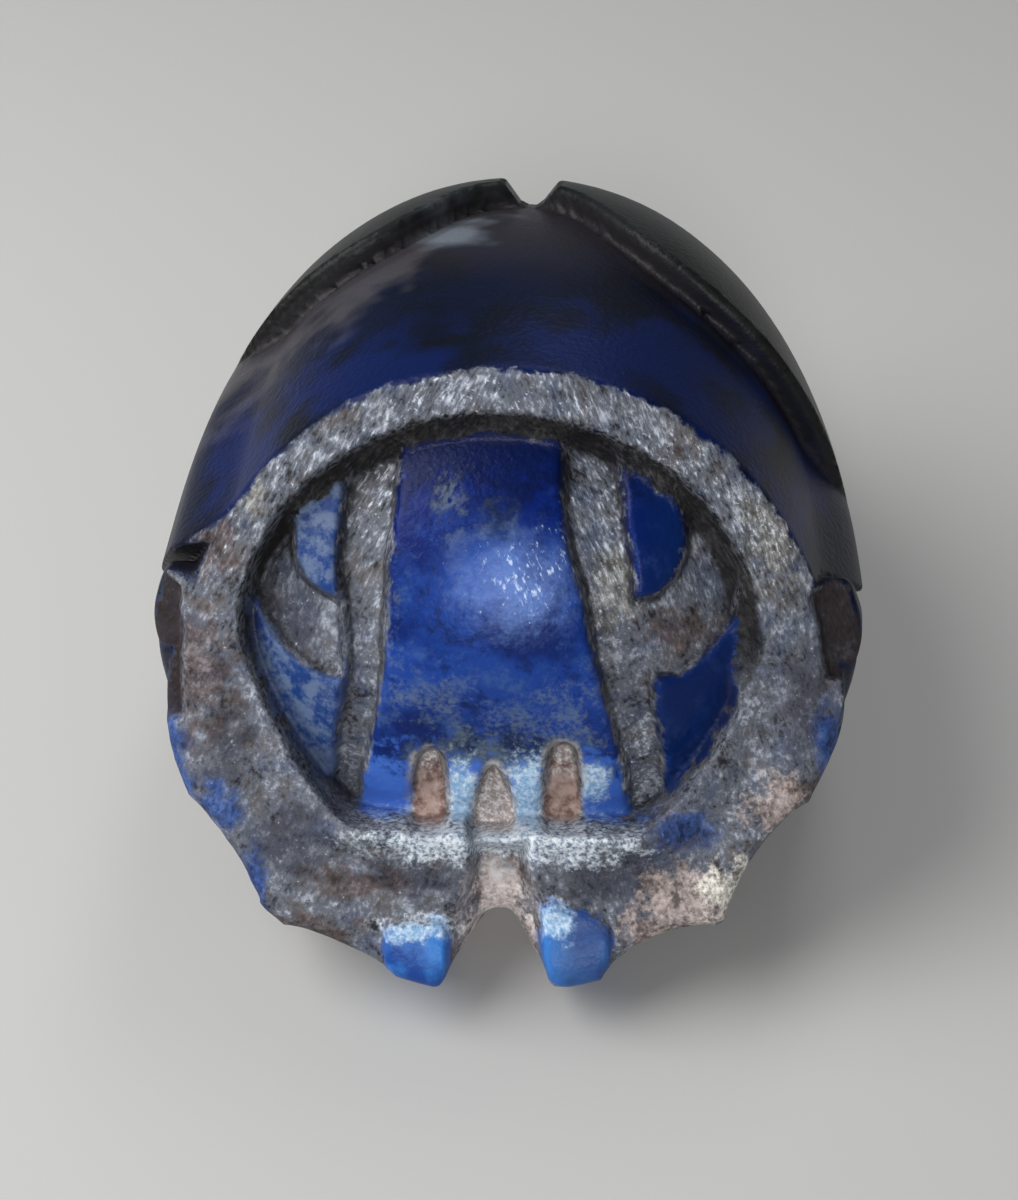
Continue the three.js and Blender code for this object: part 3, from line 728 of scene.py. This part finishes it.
def rough_ground(tree, where, lines, glints, loose):
    """Fine strokes and broader mottling add up to one tone, which runs from dark over grey to pale."""
    patches = noise(tree, where, 2.3, 6.0, 0.72)
    broad = maths(tree, "MULTIPLY", maths(tree, "SUBTRACT", patches, 0.5), 1.15)
    tone = maths(tree, "ADD", lines, broad)
    # painted glints: the tone is lifted where light catches the band, the ridge and the cheeks
    bright = frayed(tree, layer(tree, "sparkle"), loose, -0.3, 0.7, 0.08)
    lit = maths(tree, "ADD", tone, bright)
    base = mixed(tree, ramp(tree, lit, 0.22, 0.50), colour(40, 39, 42), colour(102, 106, 116))
    base = mixed(tree, ramp(tree, lit, 0.50, 0.78), base, colour(172, 178, 190))
    tint = noise(tree, where, 1.9, 4.0)
    base = mixed(tree, ramp(tree, tint, 0.53, 0.66, 0.0, 0.4), base, colour(98, 86, 76))
    base = mixed(tree, ramp(tree, tint, 0.47, 0.34, 0.0, 0.4), base, colour(62, 74, 108))
    shade = frayed(tree, layer(tree, "shade"), loose, -0.3, 0.6, 0.6)
    base = mixed(tree, shade, base, colour(46, 48, 62))
    texture = ramp(tree, tone, 0.30, 0.70)
    for name, (red, green, blue), most in STAIN_AND_HIGHLIGHT_COLOURS:
        amount = frayed(tree, layer(tree, name), loose, -0.25, 0.6, most)
        dark, light = (colour(*(part * value for value in (red, green, blue))) for part in (0.6, 1.15))
        base = mixed(tree, amount, base, mixed(tree, texture, dark, light))
    walls = frayed(tree, layer(tree, "channel"), maths(tree, "MULTIPLY", loose, 0.5), -1.0, -0.7, 0.5)
    base = mixed(tree, walls, base, mixed(tree, texture, colour(112, 104, 104), colour(182, 174, 176)))
    floor = frayed(tree, layer(tree, "channel"), loose, -0.55, 0.15, 0.85)
    below = maths(tree, "ADD", layer(tree, "face_v"), maths(tree, "MULTIPLY", loose, 0.4))
    floor = maths(tree, "MULTIPLY", floor, ramp(tree, below, 2.3, 1.7))
    base = mixed(tree, floor, base, mixed(tree, texture, colour(182, 162, 156), colour(250, 242, 238)))
    # painted glints: pale flecks where the strokes peak, with more of them where light catches
    painted_glints = maths(tree, "ADD", glints, bright)
    painted_glints = maths(tree, "ADD", painted_glints, maths(tree, "MULTIPLY", broad, 0.2))
    base = mixed(tree, ramp(tree, painted_glints, 0.66, 0.75, 0.0, 0.85), base, colour(214, 221, 232))
    spots = frayed(tree, layer(tree, "blue_spots"), maths(tree, "MULTIPLY", loose, 0.6), -0.2, 0.7, 0.85)
    base = mixed(tree, spots, base, mixed(tree, texture, colour(24, 44, 92), colour(48, 84, 150)))
    # the lowered outer strips of the cheeks are painted dark brown: brown stone, darkened further as
    # painted shade where the side turns away
    strips = ramp(tree, layer(tree, "strips"), -0.06, 0.10, 0.0, 0.9)
    base = mixed(tree, strips, base, colour(38, 29, 29))
    # painted shade: the wall of the opening is painted near black with a brownish tone, most of all high
    # up under the rim
    wall_shade = frayed(tree, layer(tree, "wall"), maths(tree, "MULTIPLY", loose, 0.08), -0.12, 0.0, 0.93)
    upper = ramp(tree, layer(tree, "face_v"), 4.4, 6.2, 0.3, 1.0)
    wall_shade = maths(tree, "MULTIPLY", wall_shade, upper)
    return mixed(tree, wall_shade, base, mixed(tree, texture, colour(12, 12, 13), colour(40, 37, 34)))


# %% Colours of the polished stone
def polished_stone(tree, where, lines, loose):
    clouds = noise(tree, where, 0.6, 5.0, 0.6)
    veins = noise(tree, where, 1.8, 6.0, 0.7)
    height = layer(tree, "face_v")
    blue = mixed(tree, ramp(tree, clouds, 0.38, 0.60), colour(8, 32, 96), colour(26, 62, 142))
    blue = mixed(tree, ramp(tree, veins, 0.50, 0.68, 0.0, 0.6), blue, colour(66, 96, 148))
    blue = mixed(tree, ramp(tree, veins, 0.46, 0.34, 0.0, 0.6), blue, colour(6, 22, 66))
    # painted shade and light: the panel is painted a deeper, darker blue towards its top, which faces up
    # at the dim room, and a lighter blue at its foot, where the ribs catch the lamp
    high = ramp(tree, maths(tree, "ADD", height, loose), 7.0, 7.8, 0.0, 0.85)
    blue = mixed(tree, high, blue, colour(2, 26, 96))
    top = ramp(tree, maths(tree, "ADD", height, loose), 7.8, 8.7, 0.0, 0.85)
    blue = mixed(tree, top, blue, colour(4, 18, 60))
    foot = ramp(tree, maths(tree, "ADD", height, loose), 4.1, 3.3, 0.0, 0.85)
    blue = mixed(tree, foot, blue, colour(70, 114, 206))
    murk = frayed(tree, layer(tree, "murk"), loose, -0.4, 0.6, 0.7)
    cloudy = mixed(tree, ramp(tree, veins, 0.4, 0.6), colour(26, 40, 66), colour(74, 86, 90))
    blue = mixed(tree, murk, blue, cloudy)
    pad_blue = mixed(tree, ramp(tree, clouds, 0.40, 0.56), colour(18, 56, 130), colour(54, 122, 196))
    right_pad = ramp(tree, layer(tree, "face_u"), 0.6, 1.3, 0.0, 0.7)
    pad_blue = mixed(tree, right_pad, pad_blue, colour(48, 66, 96))
    blue = mixed(tree, ramp(tree, layer(tree, "pads"), -0.05, 0.1, 0.0, 0.85), blue, pad_blue)
    left = ramp(tree, layer(tree, "face_u"), -2.2, -3.0, 0.0, 0.85)
    cloudy = mixed(tree, ramp(tree, maths(tree, "ADD", veins, loose), 0.1, 0.9), colour(26, 56, 110),
                   colour(96, 112, 138))
    blue = mixed(tree, left, blue, cloudy)
    right = ramp(tree, layer(tree, "face_u"), 1.9, 2.6, 0.0, 0.8)
    blue = mixed(tree, right, blue, colour(5, 33, 84))
    flecks = frayed(tree, layer(tree, "flecks"), loose, -0.2, 0.7, 0.42)
    flecks = maths(tree, "MULTIPLY", flecks, ramp(tree, maths(tree, "ADD", veins, lines), 0.88, 1.14))
    blue = mixed(tree, flecks, blue, colour(112, 126, 134))
    # painted highlight on the panel: a pale blue glow, with brighter painted glints at its middle
    highlight_glow = frayed(tree, layer(tree, "panel_highlight"), maths(tree, "MULTIPLY", loose, 0.45), -0.3, 0.8, 0.8)
    highlight_glow = maths(tree, "MULTIPLY", highlight_glow, ramp(tree, veins, 0.34, 0.58, 0.55, 1.0))
    blue = mixed(tree, highlight_glow, blue, colour(100, 132, 202))
    highlight_peaks = maths(tree, "ADD", lines, maths(tree, "MULTIPLY", layer(tree, "panel_highlight"), 0.16))
    return mixed(tree, ramp(tree, highlight_peaks, 0.63, 0.76, 0.0, 0.9), blue, colour(198, 218, 246))


# %% Colours of the dome: nearly black wing cases, dark blue thorax with a dull grey-brown border
def dome_stone(tree, where):
    clouds = noise(tree, where, 0.35, 4.0, 0.6)
    drift = ramp(tree, noise(tree, where, 0.9, 2.0, 0.5), 0.3, 0.7, -0.6, 0.6)
    thorax = mixed(tree, ramp(tree, clouds, 0.40, 0.62), colour(4, 9, 22), colour(3, 13, 40))
    patch = frayed(tree, layer(tree, "bright_blue"), drift, -0.5, 0.7, 0.9)
    thorax = mixed(tree, patch, thorax, colour(4, 24, 74))
    across = ramp(tree, layer(tree, "face_u"), -1.2, 0.6, 0.0, -3.0)
    border = maths(tree, "ADD", layer(tree, "wing_case"), across)
    dull = frayed(tree, border, maths(tree, "MULTIPLY", drift, 1.6), -2.8, -0.5, 0.8)
    thorax = mixed(tree, dull, thorax, colour(74, 72, 76))
    # the crown of the thorax is painted a paler grey-brown: partly a brownish tone of the stone, partly a
    # painted sheen from above
    crown = ramp(tree, layer(tree, "face_v"), 11.6, 12.9, 0.0, 0.6)
    thorax = mixed(tree, crown, thorax, colour(52, 48, 50))
    sheen = frayed(tree, layer(tree, "sheen"), maths(tree, "MULTIPLY", drift, 0.5), -0.1, 0.8, 0.55)
    cases = mixed(tree, ramp(tree, clouds, 0.42, 0.60), colour(12, 14, 15), colour(28, 31, 32))
    dome_colour = mixed(tree, ramp(tree, layer(tree, "wing_case"), -0.02, 0.02), thorax, cases)
    return mixed(tree, sheen, dome_colour, colour(128, 138, 150))


# %% Painted glints on the ribs, the ridge and the pads' tops, and the three pits
def with_painted_glints(tree, base, lines, loose, polished):
    # painted glints: pale grey strokes on the rough ground, pale blue on the polished stone
    rib_glints = frayed(tree, layer(tree, "rib_glints"), maths(tree, "MULTIPLY", loose, 0.7), -0.35, 0.5, 0.95)
    glitter = mixed(tree, ramp(tree, lines, 0.36, 0.60), colour(112, 132, 158), colour(238, 246, 252))
    gleam = mixed(tree, ramp(tree, lines, 0.34, 0.74), colour(122, 168, 208), colour(222, 236, 248))
    return mixed(tree, rib_glints, base, mixed(tree, polished, glitter, gleam))


def with_pits(tree, base, glints, loose, fray):
    """Brown floors with pale crumbly flecks, and a pale crusty rim round their upper ends."""
    pits = layer(tree, "pits")
    rim = maths(tree, "MULTIPLY", ramp(tree, pits, -0.16, -0.03, 0.0, 0.9), ramp(tree, fray, 0.4, 0.6))
    rim = maths(tree, "MULTIPLY", rim, ramp(tree, layer(tree, "face_v"), 3.2, 3.8, 0.25, 1.0))
    base = mixed(tree, rim, base, colour(178, 174, 168))
    pit_floor = mixed(tree, ramp(tree, fray, 0.38, 0.60), colour(112, 82, 76), colour(178, 154, 144))
    pale = frayed(tree, layer(tree, "pale"), loose, -0.4, 0.4, 0.8)
    crumbly = mixed(tree, ramp(tree, glints, 0.45, 0.65), colour(160, 152, 150), colour(240, 238, 238))
    pit_floor = mixed(tree, pale, pit_floor, crumbly)
    return mixed(tree, ramp(tree, pits, 0.0, 0.10), base, pit_floor)


# %% Painted shade in the hollows and wear on the edges
def with_hollow_shade_and_wear(tree, base, lines, polished):
    # painted shade: hollows and deep places are darkened, more so higher up the face
    upper = ramp(tree, layer(tree, "face_v"), 4.0, 6.5, 0.4, 1.0)
    hollow_shade = maths(tree, "MULTIPLY", upper, ramp(tree, layer(tree, "hollow"), 0.10, 0.6, 0.0, 0.55))
    base = mixed(tree, hollow_shade, base, colour(30, 26, 25))
    depth = maths(tree, "MULTIPLY", upper, ramp(tree, layer(tree, "deep"), 0.15, 0.6, 0.0, 0.4))
    base = mixed(tree, depth, base, colour(36, 34, 36))
    worn = maths(tree, "MULTIPLY", ramp(tree, layer(tree, "edge"), 0.15, 0.6, 0.0, 0.25),
                 maths(tree, "SUBTRACT", ramp(tree, lines, 0.40, 0.60), polished))
    return mixed(tree, worn, base, colour(160, 166, 180))


# %% The stone's material
GLOSS_GROUND, GLOSS_FACE, GLOSS_DOME = 0.62, 0.34, 0.38
MIRROR, BUMP_STRENGTH, BUMP_HEIGHT = 0.13, 0.8, 0.06 * MM
BORDER_FRAY = 0.16


def lapis():
    material = bpy.data.materials.new("lapis_lazuli_stone")
    material.use_nodes = True
    tree = material.node_tree
    shader = tree.nodes["Principled BSDF"]
    place = add_node(tree, "ShaderNodeTexCoord").outputs["Object"]
    millimetres = {0: place, "Scale": 1 / MM}
    where = add_node(tree, "ShaderNodeVectorMath", millimetres, operation="SCALE").outputs[0]
    fray = noise(tree, where, 3.0, 6.0, 0.68)
    loose = ramp(tree, fray, 0.3, 0.7, -0.55, 0.55)
    lines, glints = all_strokes(tree, where)
    border = maths(tree, "MULTIPLY", loose, BORDER_FRAY)
    polished = ramp(tree, maths(tree, "ADD", layer(tree, "polish"), border), -0.05, 0.05)

    grey = rough_ground(tree, where, lines, glints, loose)
    base = mixed(tree, polished, grey, polished_stone(tree, where, lines, loose))
    base = with_painted_glints(tree, base, lines, loose, polished)
    base = with_pits(tree, base, glints, loose, fray)
    dome_part = ramp(tree, maths(tree, "ADD", layer(tree, "on_dome"), border), -0.05, 0.05)
    base = mixed(tree, dome_part, base, dome_stone(tree, where))
    base = with_hollow_shade_and_wear(tree, base, lines, polished)
    tree.links.new(base, shader.inputs["Base Color"])

    on_dome = ramp(tree, layer(tree, "on_dome"), -0.02, 0.02)
    gloss = ramp(tree, on_dome, 0.0, 1.0, GLOSS_FACE, GLOSS_DOME)
    gloss = add_node(tree, "ShaderNodeMix", {0: polished, 2: GLOSS_GROUND, 3: gloss}).outputs[0]
    tree.links.new(gloss, shader.inputs["Roughness"])
    shader.inputs["Specular IOR Level"].default_value = MIRROR
    pepper = noise(tree, where, 9.0, 4.0)
    height = mixed(tree, polished, lines, ramp(tree, pepper, 0.2, 0.8, 0.42, 0.58))
    relief = {"Height": height, "Strength": BUMP_STRENGTH, "Distance": BUMP_HEIGHT}
    bump = add_node(tree, "ShaderNodeBump", relief)
    tree.links.new(bump.outputs[0], shader.inputs["Normal"])
    return material


mesh.materials.append(lapis())

# %% [markdown]
# ## Floor and light
# A plain pale floor, and three soft round lights: a broad one close on the left, as from a window,
# a lamp further off in front, and a weak one from behind, which lifts the rear of the dome.
# The room itself stays dim, so that polished stone has something dark to mirror: dark stone shows
# its shape by what it reflects more than by its own colour.

# %% Floor
def add_floor():
    floor_mesh = bpy.data.meshes.new("floor")
    half = 400 * MM
    corners = [(-half, -half, 0), (half, -half, 0), (half, half, 0), (-half, half, 0)]
    floor_mesh.from_pydata(corners, [], [(0, 1, 2, 3)])
    floor = bpy.data.objects.new("floor", floor_mesh)
    bpy.context.collection.objects.link(floor)
    material = bpy.data.materials.new("pale_floor")
    material.use_nodes = True
    shader = material.node_tree.nodes["Principled BSDF"]
    shader.inputs["Base Color"].default_value = colour(190, 189, 187)
    shader.inputs["Roughness"].default_value = 0.6
    floor_mesh.materials.append(material)


add_floor()


# %% Lights and room
# each light: degrees round the stone, degrees up, distance and size in millimetres, watts
LIGHTS = {
    "window": (-80, 46, 90, 85, 0.085),
    "lamp": (-2, 28, 280, 50, 0.31),
    "back": (165, 55, 200, 60, 0.05),
}
ROOM_COLOUR, ROOM_LIGHT = (0.9, 0.95, 1.0, 1.0), 0.17


def add_light(name, turn, rise_angle, distance, size, watts):
    turn, rise_angle = np.radians(turn), np.radians(rise_angle)
    level = np.cos(rise_angle)
    away = Vector((np.sin(turn) * level, -np.cos(turn) * level, np.sin(rise_angle)))
    lamp = bpy.data.objects.new(name, bpy.data.lights.new(name, "AREA"))
    lamp.data.shape = "DISK"
    lamp.data.size = size * MM
    lamp.data.energy = watts
    lamp.location = away * distance * MM
    lamp.rotation_mode = "QUATERNION"
    lamp.rotation_quaternion = away.to_track_quat("Z", "Y")
    bpy.context.collection.objects.link(lamp)


for name, numbers in LIGHTS.items():
    add_light(name, *numbers)
world = bpy.data.worlds.new("room")
bpy.context.scene.world = world
world.use_nodes = True
room_shader = world.node_tree.nodes["Background"]
room_shader.inputs["Color"].default_value = ROOM_COLOUR
room_shader.inputs["Strength"].default_value = ROOM_LIGHT
bpy.context.scene.view_settings.view_transform = "Standard"
add_camera(middle_y)
